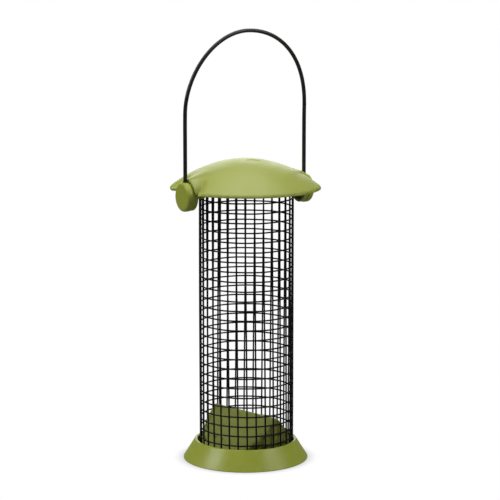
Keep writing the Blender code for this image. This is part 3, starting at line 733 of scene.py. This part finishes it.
collar = {
    "neckInner": 28.2, "neckOuter": 29.7, "socket": 32.5, "outer": 34.0, "low": 181.4, "under": 186.5,
    "top": 188.3, "rounds": [0.3, 0.4, 0.5, 0.4, 0.3, 0.3, 0.2, 0.2], "steps": 160,
    "earHalf": 3.6, "earReach": 35.6, "earLow": 179.3, "earDrop": 0.3, "earInner": 32.6,
    "earRounds": [1.6, 1.6, 0.6, 0.6], "earArcSteps": 8,
    "earGrow": [0, 0.35, 0.7, 0.9, 0.97, 1, 1, 1, 0.97, 0.9, 0.6, 0.3, 0],  # size of each row of the ear
    "earDepth": [1, 1, 1, 1, 0.98, 0.9, 0.5, 0.1, 0, 0, 0, 0, 0],  # how far out each row lies
    "stubRadius": 2.1, "stubStart": 34.0, "stubEnd": 45.9, "stubRounds": [0, 0.1, 0.5, 0], "stubSteps": 48,
}


def makeCollarRing():
    # a channel open below, which takes the tube's top
    c = collar
    outline = softCorners(
        [(c["socket"], c["low"]), (c["outer"], c["low"]), (c["outer"], c["top"]), (c["neckInner"], c["top"]),
         (c["neckInner"], c["low"]), (c["neckOuter"], c["low"]), (c["neckOuter"], c["under"]),
         (c["socket"], c["under"])],
        c["rounds"])
    points = turned(outline, c["steps"]) * mm
    ring = putMesh("collarRing", points, gridFaces(*points.shape[:2], True, True))
    return place(ring, bodyPlastic, "feeder_body", "top_collar")


def makeEar(name, side):
    # a pad whose outline is a rounded rectangle seen from the side, its inner face following the ring
    c = collar
    halfY = c["earHalf"]
    halfZ = (c["top"] - c["earDrop"] - c["earLow"]) / 2
    middleZ = c["earLow"] + halfZ
    face = softCorners([(-halfY, -halfZ), (halfY, -halfZ), (halfY, halfZ), (-halfY, halfZ)],
                       c["earRounds"], steps=c["earArcSteps"])
    grow = np.array(c["earGrow"])[:, None]
    depth = np.array(c["earDepth"])[:, None]
    near = np.sqrt(c["earInner"] ** 2 - (face[:, 0] * grow) ** 2)
    x = near * (1 - depth) + c["earReach"] * depth
    points = np.stack([side * x, face[:, 0] * grow, middleZ + face[:, 1] * grow], -1) * mm
    piece = putMesh(name, points, gridFaces(*points.shape[:2], False, True))
    return place(piece, bodyPlastic, "feeder_body", "top_collar")


def makeStub(name, side):
    # the pivot stub turned about X, from inside the ear to inside the knob
    c = collar
    r, start, end = c["stubRadius"], c["stubStart"], c["stubEnd"]
    outline = softCorners([(0, start), (r, start), (r, end), (0, end)], c["stubRounds"])
    grid = turned(outline, c["stubSteps"])
    points = np.stack([side * grid[..., 2], grid[..., 0], pivotZ + grid[..., 1]], -1) * mm
    piece = putMesh(name, points, gridFaces(*points.shape[:2], True, True))
    return place(piece, bodyPlastic, "feeder_body", "top_collar")


makeCollarRing()
makeEar("earLeft", -1)
makeEar("earRight", 1)
makeStub("stubLeft", -1)
makeStub("stubRight", 1)
print("collar made")


# Floor, light and camera

studio = {
    "floorHalf": 6.0, "floorTone": 0.25, "floorRoughness": 0.9, "fadeStart": 0.030, "fadeEnd": 0.050,
    "worldLight": 0.10, "lampsAim": (0, 0, 0.14),
    "top": {"at": (0.0, 0.1, 1.6), "size": 1.5, "power": 17.5},
    "left": {"at": (-1.2, 0.32, 0.98), "size": 0.7, "power": 8.8},
    "right": {"at": (0.75, -0.99, 0.98), "size": 0.7, "power": 6.6},
    "back": {"at": (0.72, 1.25, 0.62), "size": 0.8, "power": 4.0},
}


def makeFloor():
    # a matt floor that keeps the shadow near the foot and fades to plain white for the camera
    half = studio["floorHalf"]
    spots = [(-half, -half, 0), (half, -half, 0), (half, half, 0), (-half, half, 0)]
    mesh = bpy.data.meshes.new("floor")
    mesh.from_pydata(spots, [], [(0, 1, 2, 3)])
    floor = bpy.data.objects.new("floor", mesh)
    bpy.context.scene.collection.objects.link(floor)
    finish = bpy.data.materials.new("floorPaper")
    finish.use_nodes = True
    tree = finish.node_tree
    shader = tree.nodes["Principled BSDF"]
    shader.inputs["Base Color"].default_value = (*[studio["floorTone"]] * 3, 1)
    shader.inputs["Roughness"].default_value = studio["floorRoughness"]
    where = addNode(tree, "ShaderNodeTexCoord")
    away = addNode(tree, "ShaderNodeVectorMath", [(0, where.outputs["Object"])], operation="LENGTH")
    fade = addNode(tree, "ShaderNodeMapRange", [("Value", away.outputs["Value"])],
                   interpolation_type="SMOOTHSTEP",
                   inputs={"From Min": studio["fadeStart"], "From Max": studio["fadeEnd"]})
    path = addNode(tree, "ShaderNodeLightPath")
    amount = addNode(tree, "ShaderNodeMath", [(0, fade.outputs["Result"]),
                     (1, path.outputs["Is Camera Ray"])], operation="MULTIPLY")
    white = addNode(tree, "ShaderNodeEmission")
    blend = addNode(tree, "ShaderNodeMixShader", [(0, amount.outputs[0]), (1, shader.outputs[0]),
                    (2, white.outputs[0])])
    tree.links.new(blend.outputs[0], tree.nodes["Material Output"].inputs["Surface"])
    mesh.materials.append(finish)


def makeWorld():
    # white to the camera, and a weak even light to everything else
    world = bpy.data.worlds.new("studioWhite")
    bpy.context.scene.world = world
    world.use_nodes = True
    tree = world.node_tree
    light = tree.nodes["Background"]
    light.inputs["Strength"].default_value = studio["worldLight"]
    light.inputs["Color"].default_value = (1, 1, 1, 1)
    path = addNode(tree, "ShaderNodeLightPath")
    white = addNode(tree, "ShaderNodeBackground", inputs={"Color": (1, 1, 1, 1), "Strength": 1.0})
    blend = addNode(tree, "ShaderNodeMixShader", [(0, path.outputs["Is Camera Ray"]), (1, light.outputs[0]),
                    (2, white.outputs[0])])
    tree.links.new(blend.outputs[0], tree.nodes["World Output"].inputs["Surface"])


def makeLamp(name):
    # a square lamp turned towards the middle of the feeder
    lamp = studio[name]
    data = bpy.data.lights.new(name, "AREA")
    data.size = lamp["size"]
    data.energy = lamp["power"]
    made = bpy.data.objects.new(name, data)
    bpy.context.scene.collection.objects.link(made)
    made.location = lamp["at"]
    target = np.array(studio["lampsAim"]) - np.array(lamp["at"])
    made.rotation_euler = (math.atan2(math.hypot(target[0], target[1]), -target[2]), 0,
                           math.atan2(target[1], target[0]) - math.pi / 2)


camera = {
    "azimuth": -30.0, "distance": 1406.5, "height": 379.45, "aimZ": 142.0, "aimRight": 3.0,
    "lens": 153.71, "sensor": 36.0,
}


def makeCamera():
    # the photo's view: a plain camera without shift, pitched down
    c = camera
    turn = math.radians(c["azimuth"])
    back = np.array([math.sin(turn), -math.cos(turn)])
    right = np.array([math.cos(turn), math.sin(turn)]) * c["aimRight"]
    data = bpy.data.cameras.new("photoView")
    data.lens = c["lens"]
    data.sensor_width = c["sensor"]
    made = bpy.data.objects.new("photoView", data)
    bpy.context.scene.collection.objects.link(made)
    made.location = (*(back * c["distance"] + right) * mm, c["height"] * mm)
    down = math.atan2(c["height"] - c["aimZ"], c["distance"])
    made.rotation_euler = (math.pi / 2 - down, 0, turn)
    bpy.context.scene.camera = made


makeFloor()
makeWorld()
for lampName in ("top", "left", "right", "back"):
    makeLamp(lampName)
makeCamera()
bpy.context.scene.view_settings.view_transform = "Standard"
print("studio made")

bpy.context.view_layer.update()
